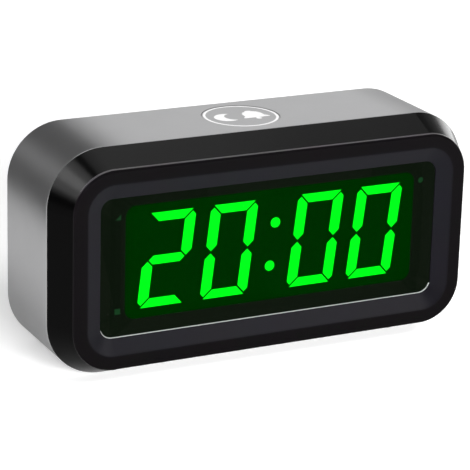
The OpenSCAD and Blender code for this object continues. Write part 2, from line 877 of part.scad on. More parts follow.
module alarm_switch_body() {
    run = alarm_run(knob_stem);
    half = knob_stem / 2 + knob_gap + board_space;
    top = board_rear + switch_h;
    color("#b4b8bc") difference() {
        slab([run[0] - board_space, board_rear, main_z - half], [run[1] + board_space, top, main_z + half]);
        alarm_slot(knob_stem, knob_stem, board_rear + switch_h / 2, top + over);
    }
}

module alarm_switch_knob() {
    low = board_rear + switch_h / 2 + knob_gap;
    seat = y_out - pocket_d + knob_gap;
    stem = knob_stem / 2;
    ridge = knob_l / 5;
    color("#e4e4e4") translate([alarm_x, 0, main_z]) difference() {
        union() {
            slab([-stem, low, -stem], [stem, seat + knob_gap, stem]);
            slab([-knob_l / 2, seat, -knob_h / 2], [knob_l / 2, y_out + knob_proud, knob_h / 2]);
        }
        for (x = [-ridge, ridge]) {
            slab(
                [x - ridge / 2, y_out + knob_proud / 2, -knob_h],
                [x + ridge / 2, y_out + knob_proud + over, knob_h]
            );
        }
    }
}

// Snooze cap lies just below the top and is kept in by two side tabs
module snooze_button() {
    cap_top = z_top - snooze_sink;
    skirt_low = z_top_in - stop_gap - tab_t;
    color("#5a5a5c") translate([snooze_x, snooze_y, 0]) {
        difference() {
            translate([0, 0, skirt_low]) cylinder(r = snooze_r, h = cap_top - skirt_low);
            translate([0, 0, skirt_low - over]) {
                cylinder(r = snooze_r - snooze_wall, h = cap_top - snooze_wall - skirt_low + over);
            }
        }
        translate([0, 0, skirt_low - stem_l]) {
            cylinder(r = plunger_r, h = cap_top - snooze_wall / 2 - skirt_low + stem_l);
        }
        for (s = [-1, 1]) {
            translate([s * (snooze_r + tab_reach / 2 - snooze_wall / 2), 0, skirt_low + tab_t / 2]) {
                cube([tab_reach + snooze_wall, tab_w, tab_t], center = true);
            }
        }
    }
}

module on_snooze_board() {
    translate([snooze_x, snooze_y, snooze_board_top]) children();
}

module snooze_plunger() {
    color("#6e6e70") on_snooze_board() switch_plunger();
}

module snooze_switch() {
    color("#202022") on_snooze_board() switch_housing(snooze_travel);
}

module snooze_board() {
    color("#1d5a34") difference() {
        translate([snooze_x - snooze_board_l / 2, snooze_y - snooze_board_w / 2, snooze_board_low]) {
            cube([snooze_board_l, snooze_board_w, board_t]);
        }
        snooze_bosses(snooze_board_low - over, snooze_board_top + over, board_screw_r + cap_gap);
    }
}

module snooze_screws() {
    color("#c8c8c8") for (s = [-1, 1]) {
        translate([snooze_x + s * snooze_boss_x, snooze_y, snooze_board_low]) {
            rotate([180, 0, 0]) board_screw();
        }
    }
}

// Flat lead from the snooze board's underside to the main board's front
module snooze_lead() {
    place = snooze_x + switch_side + board_space;
    drop_z = main_z1 - board_space;
    drop_y = board_front - board_space - lead_r;
    corner = [place, drop_y - lead_r, drop_z - 2 * lead_r];
    color("#a8a8a8") {
        slab(corner, [place + tag_w, drop_y + lead_r, snooze_board_low]);
        slab(corner, [place + tag_w, board_front, drop_z]);
    }
}

// Cell along +X from its flat end, with its nub at the far end
module cell() {
    rotate([0, 90, 0]) {
        cylinder(r = cell_dia / 2, h = cell_l - nub_l);
        cylinder(r = nub_r, h = cell_l);
    }
}

// Lower row points right and upper row points left, each pushed by a spring at its flat end
row_start = -bay_w / 2 + contact_t + spring_l;
module cell_row(row) {
    mirror([row, 0, 0]) translate([row_start, cell_y, row_z[row]]) children();
}

module aa_cells() {
    step = cell_gap / 4;
    color("#3a4a3c") for (row = [0, 1]) cell_row(row) {
        translate([step, 0, 0]) cell();
        translate([cell_l + 2 * step, 0, 0]) cell();
    }
}

// Tapered coil between the contact plate and the cell
spring_rings = 8;
spring_sides = 6;
spring_steps = spring_rings * spring_turns;
function coil_point(i) =
    let (
        t = i / spring_steps,
        a = 360 * spring_turns * t,
        r = spring_wide + (spring_narrow - spring_wide) * t,
        run = spring_l - spring_wire - 2 * stop_gap
    )
    [stop_gap + spring_wire / 2 + run * t, r * cos(a), r * sin(a)];
function coil_ring(i) =
    let (a = 360 * spring_turns * i / spring_steps, p = coil_point(i), w = spring_wire / 2)
    [
        for (k = [0:spring_sides - 1]) let (b = 360 * k / spring_sides)
            p + w * [sin(b), cos(b) * cos(a), cos(b) * sin(a)]
    ];
function coil_gap() = min([
    for (i = [0:spring_steps - spring_rings], j = [i + spring_rings / 2:spring_steps])
        norm(coil_point(i) - coil_point(j)) - spring_wire
]);
coil_points = [for (i = [0:spring_steps]) each coil_ring(i)];
coil_last = spring_steps * spring_sides;
coil_faces = concat(
    [for (i = [0:spring_steps - 1], k = [0:spring_sides - 1]) let (n = (k + 1) % spring_sides) each [
        [i * spring_sides + k, (i + 1) * spring_sides + n, i * spring_sides + n],
        [i * spring_sides + k, (i + 1) * spring_sides + k, (i + 1) * spring_sides + n]
    ]],
    [for (k = [1:spring_sides - 2]) [0, k, k + 1]],
    [for (k = [1:spring_sides - 2]) [coil_last, coil_last + k + 1, coil_last + k]]
);

module contact_springs() {
    echo(least_gap_between_spring_turns = coil_gap());
    color("#c4c6c8") for (row = [0, 1]) {
        cell_row(row) translate([-spring_l, 0, 0]) polyhedron(coil_points, coil_faces);
    }
}

// Two plates with tags on the left and one tall bridge on the right
module contact_plates() {
    left = -bay_w / 2;
    half = contact_w / 2;
    color("#c8cacc") {
        for (row = [0, 1]) {
            slab(
                [left, cell_y - half, row_z[row] - half],
                [left + contact_t, cell_y + half, row_z[row] + half]
            );
            slab(
                [left, tag_y0, row_z[row] - tag_w / 2],
                [left + contact_t, cell_y, row_z[row] + tag_w / 2]
            );
            slab(
                [left, tag_y0, row_z[row] - tag_w / 2],
                [lead_places[row] + lead_r, tag_y1, row_z[row] + tag_w / 2]
            );
        }
        slab([-left - contact_t, cell_y - half, row_z[0] - half], [-left, cell_y + half, row_z[1] + half]);
    }
}

// Lead: straight up from its tag, one bend, then back to the board
module battery_lead(row) {
    start = row_z[row] - tag_w / 2;
    turn = main_z - lead_bend;
    translate([lead_places[row], lead_y, 0]) {
        translate([0, 0, start]) cylinder(r = lead_r, h = turn - start);
        translate([0, lead_bend, turn]) rotate([0, 0, 90]) rotate([90, 0, 0]) rotate([0, 0, 90]) {
            rotate_extrude(angle = 90) translate([lead_bend, 0]) circle(lead_r);
        }
    }
    bar_y(lead_places[row], main_z, lead_y + lead_bend, board_front, lead_r);
}

module battery_leads() {
    color("#7a2020") for (row = [0, 1]) battery_lead(row);
}

module rear_screws() {
    seat = y_out - cover_t / 2;
    color("#3a3a3c") for (sx = [-1, 1], sz = [-1, 1]) translate([sx * post_x, 0, z_mid + sz * post_z]) {
        bar_y(0, 0, y_in - rear_screw_l + stop_gap, seat + stop_gap, rear_screw_r);
        difference() {
            bar_y(0, 0, seat, y_out - stop_gap, rear_screw_r * head_ratio);
            for (a = [0, 90]) translate([0, y_out, 0]) rotate([0, a, 0]) {
                cube([rear_screw_r * head_ratio, cover_t / 2, cross_w], center = true);
            }
        }
    }
}

module rubber_feet() {
    color("#1c1c1c") for (sx = [-1, 1], y = foot_places_y) {
        translate([sx * foot_places_x, y, 0]) cylinder(r = foot_r, h = foot_t);
    }
}

front_bezel();
window_lens();
window_mask();
case_sleeve();
rear_cover();
battery_door();
digit_block();
lit_digit(0);  // digit_1
lit_digit(1);  // digit_2
lit_digit(2);  // digit_3
lit_digit(3);  // digit_4
unlit_segments();
colon_dots();
indicator_lamps();
led_chips();
display_board();
display_screws();
ribbon_headers();
ribbon_cable();
main_board();
board_screws();
controller_chip();
clock_crystal();
capacitors();
buzzer();
set_switches();
set_button(0);  // set_button_1
set_button(1);  // set_button_2
set_button(2);  // set_button_3
set_button(3);  // set_button_4
set_plunger(0);  // set_plunger_1
set_plunger(1);  // set_plunger_2
set_plunger(2);  // set_plunger_3
set_plunger(3);  // set_plunger_4
alarm_switch_body();
alarm_switch_knob();
snooze_button();
snooze_plunger();
snooze_switch();
snooze_board();
snooze_screws();
snooze_lead();
aa_cells();
contact_springs();
contact_plates();
battery_leads();
rear_screws();
rubber_feet();
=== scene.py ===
import math

import bmesh
import bpy
from mathutils import Matrix, Vector


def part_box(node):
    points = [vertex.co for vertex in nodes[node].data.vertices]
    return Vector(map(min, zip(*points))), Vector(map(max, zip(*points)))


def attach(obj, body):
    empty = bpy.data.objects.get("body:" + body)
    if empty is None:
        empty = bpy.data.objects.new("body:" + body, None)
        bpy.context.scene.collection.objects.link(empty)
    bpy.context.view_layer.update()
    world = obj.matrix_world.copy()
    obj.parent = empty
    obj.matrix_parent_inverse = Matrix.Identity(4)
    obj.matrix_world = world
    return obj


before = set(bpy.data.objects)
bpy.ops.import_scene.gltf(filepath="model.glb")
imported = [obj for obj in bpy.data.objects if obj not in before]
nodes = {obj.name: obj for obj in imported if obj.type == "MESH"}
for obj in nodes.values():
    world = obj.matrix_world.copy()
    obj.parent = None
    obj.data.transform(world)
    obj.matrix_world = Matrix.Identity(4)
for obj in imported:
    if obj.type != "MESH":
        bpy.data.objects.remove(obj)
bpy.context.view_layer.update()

scene = bpy.context.scene
scene.view_settings.view_transform = "Standard"
mm = 0.001


def corners(node):                               # mm, lowest and highest corner of a CAD node
    return [[value / mm for value in corner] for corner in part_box(node)]


caseLow, caseHigh = corners("case_sleeve")
caseMiddle = (caseLow[2] + caseHigh[2]) / 2


def srgb(hexText):                               # sRGB hex to a linear colour
    parts = [int(hexText[i:i + 2], 16) / 255 for i in (1, 3, 5)]
    return [c / 12.92 if c <= 0.04045 else ((c + 0.055) / 1.055) ** 2.4 for c in parts] + [1.0]


def wire(tree, node, inputs):                    # links a socket, sets a plain value
    for key, value in inputs.items():
        if isinstance(value, bpy.types.NodeSocket):
            tree.links.new(value, node.inputs[key])
        else:
            node.inputs[key].default_value = value
    return node


def addNode(tree, kind, inputs=None, **settings):
    node = tree.nodes.new(kind)
    for name, value in settings.items():
        setattr(node, name, value)
    return wire(tree, node, inputs or {})


def newMaterial(name):
    material = bpy.data.materials.new(name)
    material.use_nodes = True
    tree = material.node_tree
    place = addNode(tree, "ShaderNodeTexCoord").outputs["Object"]
    return material, tree, tree.nodes["Principled BSDF"], place


# two close colours in soft clouds of a size in mm: gives the cloud and the tone
def cloudyTone(tree, place, look, detail=2.0):
    cloud = addNode(tree, "ShaderNodeTexNoise", {
        "Vector": place, "Scale": 1 / (look["patch"] * mm), "Detail": detail})
    tone = addNode(tree, "ShaderNodeMix", {
        0: cloud.outputs[0], 6: srgb(look["colour"]), 7: srgb(look["other"])}, data_type="RGBA")
    return cloud.outputs[0], tone.outputs[2]


# camera
shot = {
    "lens": 176.26, "sensor": 36.0,              # mm, square sensor
    "target": (-14.706, -22.9, 44.679),          # mm, point on the front face
    "back": (-0.42902, -0.84712, 0.31357),       # from the clock towards the camera
    "distance": 724.96,                          # mm
    "roll": 1.571,                               # degrees
}


def placeCamera(look):
    data = bpy.data.cameras.new("photo_camera")
    data.lens = look["lens"]
    data.sensor_width = look["sensor"]
    camera = bpy.data.objects.new("photo_camera", data)
    scene.collection.objects.link(camera)
    back = Vector(look["back"]).normalized()
    right = Vector((0, 0, 1)).cross(back).normalized()
    up = back.cross(right)
    roll = math.radians(look["roll"])
    tilted = right * math.cos(roll) + up * math.sin(roll)
    upright = up * math.cos(roll) - right * math.sin(roll)
    turn = Matrix((tilted, upright, back)).transposed().to_4x4()
    at = (Vector(look["target"]) + back * look["distance"]) * mm
    camera.matrix_world = Matrix.Translation(at) @ turn
    scene.camera = camera


placeCamera(shot)
print("camera placed")

# studio
room = {
    "grey": 0.10,                 # plain grey in every direction, white for the camera
    "gloss": 0.03,                # a little more of it in gloss and glass
}
sweep = {
    "size": 4.0,                  # m
    "colour": "#ebebeb", "other": "#eeeeee", "patch": 40.0,    # mm
    "rough": 0.9,
    "glow": 0.36,                 # lifts the paper round the clock towards white for the camera
    "whiteFrom": (0.35, 0.80),    # m from the clock, over which it turns plain white for the camera
    "gloss": 0.05,                # its glow in gloss and glass
}
softboxAim = Vector((0, 0, 0.035))    # m, point in the clock that every softbox faces
# az from the rear towards +X and el in degrees, distance and size in m
# only: lights these pieces alone; skip: lights all but these
softboxes = {
    "overhead": {"az": 150, "el": 84, "distance": 1.8, "size": (1.7, 1.7), "radiance": 1.0},
    "key": {
        "az": 222, "el": 42, "distance": 1.6, "size": (0.6, 0.6), "radiance": 14.0,
        "skip": ["studio_floor", "case_sleeve", "snooze_button"],
    },
    "front_low": {
        "az": 140, "el": 22, "distance": 1.6, "size": (1.4, 0.6), "radiance": 4.2,
        "only": ["front_bezel"],
    },
    "back_low": {
        "az": 41, "el": 15, "distance": 1.6, "size": (1.36, 0.62), "radiance": 1.42,
        "skip": ["studio_floor"],
    },
    "back_high": {
        "az": 38, "el": 36, "distance": 1.6, "size": (1.56, 0.56), "radiance": 0.95,
        "skip": ["studio_floor"],
    },
    "front_fill": {
        "az": 180, "el": 28, "distance": 1.6, "size": (2.6, 0.9), "radiance": 0.8,
        "skip": ["studio_floor", "front_bezel"],
    },
    "rear_fill": {
        "az": -30, "el": 30, "distance": 1.6, "size": (1.0, 1.0), "radiance": 3.0,
        "skip": ["studio_floor", "front_bezel", "case_sleeve", "snooze_button"],
    },
    "floor_key": {
        "az": 150, "el": 43, "distance": 1.6, "size": (0.6, 0.6), "radiance": 14.0,
        "only": ["studio_floor"],
    },
    "floor_wash": {
        "az": 188, "el": 18, "distance": 1.6, "size": (1.3, 0.4), "radiance": 32.0,
        "only": ["studio_floor"],
    },
    "band_strip": {
        "az": 28, "el": 66, "distance": 1.4, "size": (1.25, 0.48), "roll": 34, "radiance": 2.3,
        "only": ["front_bezel"],
    },
    "band_core": {
        "az": 20, "el": 69, "distance": 1.4, "size": (1.0, 0.42), "roll": 34, "radiance": 1.3,
        "only": ["front_bezel"],
    },
    "edge_glow": {
        "az": 52, "el": 8, "distance": 0.8, "size": (0.7, 0.3), "radiance": 3.5,
        "only": ["front_bezel"],
    },
    "corner_glow": {
        "az": -24, "el": 22, "distance": 1.4, "size": (0.3, 0.3), "radiance": 0.5,
        "only": ["case_sleeve"],
    },
    "corner_strip": {
        "az": -72, "el": 41, "distance": 1.4, "size": (0.26, 1.3), "roll": 12, "radiance": 15.0,
        "only": ["front_bezel"],
    },
    "corner_core": {
        "az": -73, "el": 40, "distance": 1.4, "size": (0.26, 0.5), "roll": 12, "radiance": 18.0,
        "only": ["front_bezel"],
    },
    "corner_tail": {
        "az": -75, "el": 20, "distance": 1.4, "size": (0.3, 0.45), "radiance": 4.5,
        "only": ["front_bezel"],
    },
}


def layFloor(look):
    half = look["size"] / 2
    square = [(-half, -half, 0), (half, -half, 0), (half, half, 0), (-half, half, 0)]
    mesh = bpy.data.meshes.new("studio_floor")
    mesh.from_pydata(square, [], [(0, 1, 2, 3)])
    floor = bpy.data.objects.new("studio_floor", mesh)
    scene.collection.objects.link(floor)
    material, tree, shader, place = newMaterial("matt paper sweep")    # even white, keeps the shadow
    tone = cloudyTone(tree, place, look)[1]
    path = addNode(tree, "ShaderNodeLightPath").outputs
    seen = addNode(tree, "ShaderNodeMath", {
        0: path["Is Glossy Ray"], 1: path["Is Transmission Ray"]}, operation="MAXIMUM")
    gloss = addNode(tree, "ShaderNodeMath", {0: seen.outputs[0], 1: look["gloss"]}, operation="MULTIPLY")
    far = addNode(tree, "ShaderNodeVectorMath", {0: place}, operation="LENGTH")
    white = addNode(tree, "ShaderNodeMapRange", {
        "Value": far.outputs["Value"], "From Min": look["whiteFrom"][0], "From Max": look["whiteFrom"][1],
        "To Min": look["glow"], "To Max": 1.0}, interpolation_type="SMOOTHSTEP")
    glow = addNode(tree, "ShaderNodeMath", {
        0: path["Is Camera Ray"], 1: white.outputs[0], 2: gloss.outputs[0]}, operation="MULTIPLY_ADD")
    wire(tree, shader, {
        "Base Color": tone, "Roughness": look["rough"], "Specular IOR Level": 0.0,
        "Emission Color": srgb("#ffffff"), "Emission Strength": glow.outputs[0]})
    mesh.materials.append(material)


def hangSoftbox(name, look):
    alone = "only" in look
    data = bpy.data.lights.new(name, "AREA")
    data.shape = "ELLIPSE" if alone else "RECTANGLE"
    data.size, data.size_y = look["size"]
    data.energy = look["radiance"] * math.pi * data.size * data.size_y
    lamp = bpy.data.objects.new(name, data)
    scene.collection.objects.link(lamp)
    az, el = math.radians(look["az"]), math.radians(look["el"])
    out = Vector((math.sin(az) * math.cos(el), math.cos(az) * math.cos(el), math.sin(el)))
    facing = out.to_track_quat("Z", "Y").to_matrix().to_4x4()
    roll = Matrix.Rotation(math.radians(look.get("roll", 0)), 4, "Z")
    lamp.matrix_world = Matrix.Translation(out * look["distance"] + softboxAim) @ facing @ roll
    lamp.visible_camera = False
    named = look["only"] if alone else look.get("skip", [])
    if named:
        group = bpy.data.collections.new(name)
        lamp.light_linking.receiver_collection = group
        for piece in named:
            group.objects.link(scene.objects[piece])
        for entry in group.collection_objects:
            entry.light_linking.link_state = "INCLUDE" if alone else "EXCLUDE"


def paintRoom(look):
    world = bpy.data.worlds.new("grey_room")
    world.use_nodes = True
    tree = world.node_tree
    path = addNode(tree, "ShaderNodeLightPath").outputs
    seen = addNode(tree, "ShaderNodeMath", {
        0: path["Is Glossy Ray"], 1: path["Is Transmission Ray"]}, operation="MAXIMUM")
    gloss = addNode(tree, "ShaderNodeMath", {
        0: seen.outputs[0], 1: look["gloss"], 2: look["grey"]}, operation="MULTIPLY_ADD")
    white = addNode(tree, "ShaderNodeMath", {
        0: gloss.outputs[0], 1: path["Is Camera Ray"]}, operation="MAXIMUM")
    wire(tree, tree.nodes["Background"], {"Color": srgb("#ffffff"), "Strength": white.outputs[0]})
    scene.world = world


layFloor(sweep)
for name, look in softboxes.items():
    hangSoftbox(name, look)
paintRoom(room)
print("studio lit")

noiseSpan = (0.3, 0.7)                           # most of a noise texture lies between these


# finishes that share one recipe: cloudy tone, grain in the gloss and a real grain height, all in mm
def grainedFinish(name, look):
    material, tree, shader, place = newMaterial(name)
    tone = cloudyTone(tree, place, look, detail=3.0)[1]
    grain = addNode(tree, "ShaderNodeTexNoise", {
        "Vector": place, "Scale": 1 / (look["grain"] * mm), "Detail": 2.0})
    gloss = addNode(tree, "ShaderNodeMapRange", {
        "Value": grain.outputs[0], "From Min": noiseSpan[0], "From Max": noiseSpan[1],
        "To Min": look["rough"][0], "To Max": look["rough"][1]})
    relief = addNode(tree, "ShaderNodeBump", {
        "Height": grain.outputs[0], "Strength": 1.0, "Distance": look["height"] * mm})
    wire(tree, shader, {"Base Color": tone, "Roughness": gloss.outputs[0], "Normal": relief.outputs[0]})
    wire(tree, shader, look.get("sockets", {}))
    return material


finishes = {
    # spark-eroded ABS: dull near-black, grain drawn at 0.5 mm so that it shows
    "spark textured black ABS": {
        "colour": "#222224", "other": "#29292b", "patch": 12.0, "grain": 0.5, "height": 0.05,
        "rough": (0.48, 0.62), "sockets": {"Specular IOR Level": 0.4},
    },
    # screen-printed polyester film: near-black with a green cast, and a faint painted glow in place of the
    # room light on it behind the window
    "printed polyester film": {
        "colour": "#050a06", "other": "#070d08", "patch": 6.0, "grain": 0.2, "height": 0.001,
        "rough": (0.4, 0.5),
        "sockets": {"Specular IOR Level": 0.0, "Emission Color": srgb("#1c1f19"), "Emission Strength": 1.0},
    },
    # silicone rubber: soft dark grey with a dusty bloom and almost no gloss
    "moulded silicone rubber": {
        "colour": "#343436", "other": "#3c3c3e", "patch": 3.0, "grain": 0.15, "height": 0.006,
        "rough": (0.62, 0.78),
        "sockets": {"Specular IOR Level": 0.3, "Sheen Weight": 0.15, "Sheen Roughness": 0.5},
    },
    # acetal, moulded: waxy mid grey
    "moulded grey acetal": {
        "colour": "#6f6f72", "other": "#77777a", "patch": 2.0, "grain": 0.2, "height": 0.004,
        "rough": (0.35, 0.45),
    },
    # white ABS knob: clean, slightly warm, low gloss
    "moulded white ABS": {
        "colour": "#dedcd6", "other": "#e6e4df", "patch": 3.0, "grain": 0.25, "height": 0.004,
        "rough": (0.34, 0.42),
    },
    # nylon of connectors and LED packages: cream, half matt
    "moulded cream nylon": {
        "colour": "#ddd6bd", "other": "#e5dfc9", "patch": 2.0, "grain": 0.3, "height": 0.004,
        "rough": (0.4, 0.52),
    },
    # zinc plated steel: bright, bluish, with a fine grain
    "zinc plated steel": {
        "colour": "#c3c6ca", "other": "#cdd0d2", "patch": 1.5, "grain": 0.12, "height": 0.002,
        "rough": (0.22, 0.36), "sockets": {"Metallic": 1.0},
    },
    # nickel plated spring steel: warmer and brighter than the zinc
    "nickel plated spring steel": {
        "colour": "#c9c5bd", "other": "#d3d0c9", "patch": 2.0, "grain": 0.15, "height": 0.0015,
        "rough": (0.16, 0.28), "sockets": {"Metallic": 1.0},
    },
    # black zinc on screw heads: dark metal with worn lighter spots
    "black zinc steel": {
        "colour": "#2b2b2d", "other": "#3c3c3f", "patch": 0.8, "grain": 0.1, "height": 0.002,
        "rough": (0.3, 0.44), "sockets": {"Metallic": 0.8},
    },
    # epoxy moulding compound of chips, switches and the buzzer: dull charcoal with fine filler
    "moulded black epoxy": {
        "colour": "#1a1a1b", "other": "#222223", "patch": 1.2, "grain": 0.12, "height": 0.004,
        "rough": (0.5, 0.66),
    },
    # nitrile feet: matt charcoal
    "moulded nitrile rubber": {
        "colour": "#18181a", "other": "#212122", "patch": 2.0, "grain": 0.3, "height": 0.01,
        "rough": (0.7, 0.85),
    },
    # pad-printed ink: flat white with a hint of the pad's grain
    "pad printed white ink": {
        "colour": "#f6f6f6", "other": "#ffffff", "patch": 1.0, "grain": 0.2, "height": 0.001,
        "rough": (0.45, 0.6), "sockets": {"Specular IOR Level": 0.3},
    },
    # polished acrylic edge of the window: pale colour, a painted highlight of the light it catches
    "acrylic edge highlight": {
        "colour": "#c6cbc9", "other": "#d0d5d3", "patch": 3.0, "grain": 0.3, "height": 0.001,
        "rough": (0.2, 0.3),
    },
}
paints = {name: grainedFinish(name, look) for name, look in finishes.items()}

# outline of the case in mm, which the lacquer and the bezel follow
caseOutline = {
    "half": (caseHigh[0], caseHigh[2] - caseMiddle), "middle": (0.0, caseMiddle),    # along X and Z
    "corner": 18.4,                              # radius
}


# for X and Z: the way from the middle of the case, and how far past the straight of its outline
def pastStraights(tree, axes):
    found = []
    for axis, half, middle in zip("XZ", caseOutline["half"], caseOutline["middle"]):
        straight = (half - caseOutline["corner"]) * mm
        off = addNode(tree, "ShaderNodeMath", {0: axes[axis], 1: middle * mm}, operation="SUBTRACT")
        size = addNode(tree, "ShaderNodeMath", {0: off.outputs[0]}, operation="ABSOLUTE")
        past = addNode(tree, "ShaderNodeMath", {0: size.outputs[0], 1: straight}, operation="SUBTRACT")
        found.append((off.outputs[0], past.outputs[0]))
    return found


# satin metallic lacquer on ABS: soft grey that takes the tone of what it mirrors, fine flake in the gloss
lacquerLook = {
    "runOut": (17.5, 20.0),                      # mm of top and side that the polish bends into the corner
    "skin": (0.86, 0.94),                        # cosines between which a face takes that softer bend
    "colour": "#b8b8b9", "other": "#bcbcbd", "patch": 9.0,    # mm
    "rough": (0.34, 0.40),
    "flake": 0.25, "flakeHeight": 0.002,         # mm, drawn coarser than real flake so that it shows
    "grazing": "#c8c8c8",                        # mirrors less than white at a flat angle
    "bareFrom": caseLow[1] + 0.25,               # mm, thin line where the lacquer ends at the bezel
    "bareEdge": "#8c8c8c", "bareRough": 0.6,     # duller there than the lacquer
}


def lacquerFinish(look):
    material, tree, shader, place = newMaterial("satin graphite lacquer")
    axes = addNode(tree, "ShaderNodeSeparateXYZ", {0: place}).outputs
    side, over, under = [], [], []
    for off, past in pastStraights(tree, axes):
        side.append(addNode(tree, "ShaderNodeMath", {0: off}, operation="SIGN").outputs[0])
        over.append(addNode(tree, "ShaderNodeMath", {0: past, 1: 0.0}, operation="MAXIMUM").outputs[0])
        under.append(addNode(tree, "ShaderNodeMath", {0: past, 1: 0.0}, operation="MINIMUM").outputs[0])
    # way along the outline from where the top ends, then a bend that starts earlier and ends later
    corner = caseOutline["corner"]
    turn = addNode(tree, "ShaderNodeMath", {0: over[0], 1: over[1]}, operation="ARCTAN2")
    arc = addNode(tree, "ShaderNodeMath", {
        0: turn.outputs[0], 1: corner * mm, 2: under[0]}, operation="MULTIPLY_ADD")
    along = addNode(tree, "ShaderNodeMath", {0: arc.outputs[0], 1: under[1]}, operation="SUBTRACT")
    bend = addNode(tree, "ShaderNodeMapRange", {
        "Value": along.outputs[0], "From Min": -look["runOut"][0] * mm,
        "From Max": (corner * math.pi / 2 + look["runOut"][1]) * mm,
        "To Min": 0.0, "To Max": math.pi / 2}, interpolation_type="SMOOTHSTEP")
    lean = addNode(tree, "ShaderNodeMath", {0: bend.outputs[0]}, operation="SINE")
    rise = addNode(tree, "ShaderNodeMath", {0: bend.outputs[0]}, operation="COSINE")
    leanX = addNode(tree, "ShaderNodeMath", {0: lean.outputs[0], 1: side[0]}, operation="MULTIPLY")
    riseZ = addNode(tree, "ShaderNodeMath", {0: rise.outputs[0], 1: side[1]}, operation="MULTIPLY")
    soft = addNode(tree, "ShaderNodeCombineXYZ", {0: leanX.outputs[0], 2: riseZ.outputs[0]})
    own = addNode(tree, "ShaderNodeNewGeometry").outputs["Normal"]
    agree = addNode(tree, "ShaderNodeVectorMath", {0: own, 1: soft.outputs[0]}, operation="DOT_PRODUCT")
    skin = addNode(tree, "ShaderNodeMapRange", {
        "Value": agree.outputs["Value"], "From Min": look["skin"][0], "From Max": look["skin"][1]})
    blend = addNode(tree, "ShaderNodeMix", {
        0: skin.outputs[0], 4: own, 5: soft.outputs[0]}, data_type="VECTOR")
    normal = addNode(tree, "ShaderNodeVectorMath", {0: blend.outputs[1]}, operation="NORMALIZE")
    # colour, flake and the bare line
    tone = cloudyTone(tree, place, look, detail=3.0)[1]
    flake = addNode(tree, "ShaderNodeTexNoise", {
        "Vector": place, "Scale": 1 / (look["flake"] * mm), "Detail": 2.0})
    bare = addNode(tree, "ShaderNodeMath", {
        0: axes["Y"], 1: look["bareFrom"] * mm}, operation="LESS_THAN").outputs[0]
    tone = addNode(tree, "ShaderNodeMix", {0: bare, 6: tone, 7: srgb(look["bareEdge"])}, data_type="RGBA")
    gloss = addNode(tree, "ShaderNodeMapRange", {
        "Value": flake.outputs[0], "From Min": noiseSpan[0], "From Max": noiseSpan[1],
        "To Min": look["rough"][0], "To Max": look["rough"][1]})
    rough = addNode(tree, "ShaderNodeMix", {0: bare, 2: gloss.outputs[0], 3: look["bareRough"]})
    relief = addNode(tree, "ShaderNodeBump", {
        "Height": flake.outputs[0], "Strength": 1.0, "Distance": look["flakeHeight"] * mm,
        "Normal": normal.outputs[0]})
    wire(tree, shader, {
        "Base Color": tone.outputs[2], "Roughness": rough.outputs[0], "Normal": relief.outputs[0],
        "Metallic": 1.0, "Specular Tint": srgb(look["grazing"])})
    return material


# gloss ABS bezel: near-black band and rim of one gloss, and a satin inner slope; the band is set darker than
# the rim as painted shade
bezelLook = {
    "slopeFrom": (9.2, 0.7), "rimFrom": (4.45, 0.08),    # mm in from the outline, and half the change there
    "edgeWidth": 0.12,                           # mm, half the width of the painted highlight along the rim's edge
    "highlightOver": (63, 70),                        # mm, heights between which that painted highlight comes in, where light from above falls on the edge
    "band": "#020202", "rim": "#0f0d0f", "satin": "#17161c", "paintedHighlight": "#403e40",
    "flow": 14.0, "flowTone": 0.12, "flowRough": 0.04,    # mm, and what the moulding flow adds
    "grain": 0.35, "grainHeight": 0.006,         # mm, on the slope, coarse enough to show
    "glossRough": 0.18, "satinRough": 0.40, "coatRough": 0.36,
    "ior": 1.1, "coatIor": 1.13,                 # ABS has 1.53: lowered, as the bezel mirrors very little
}


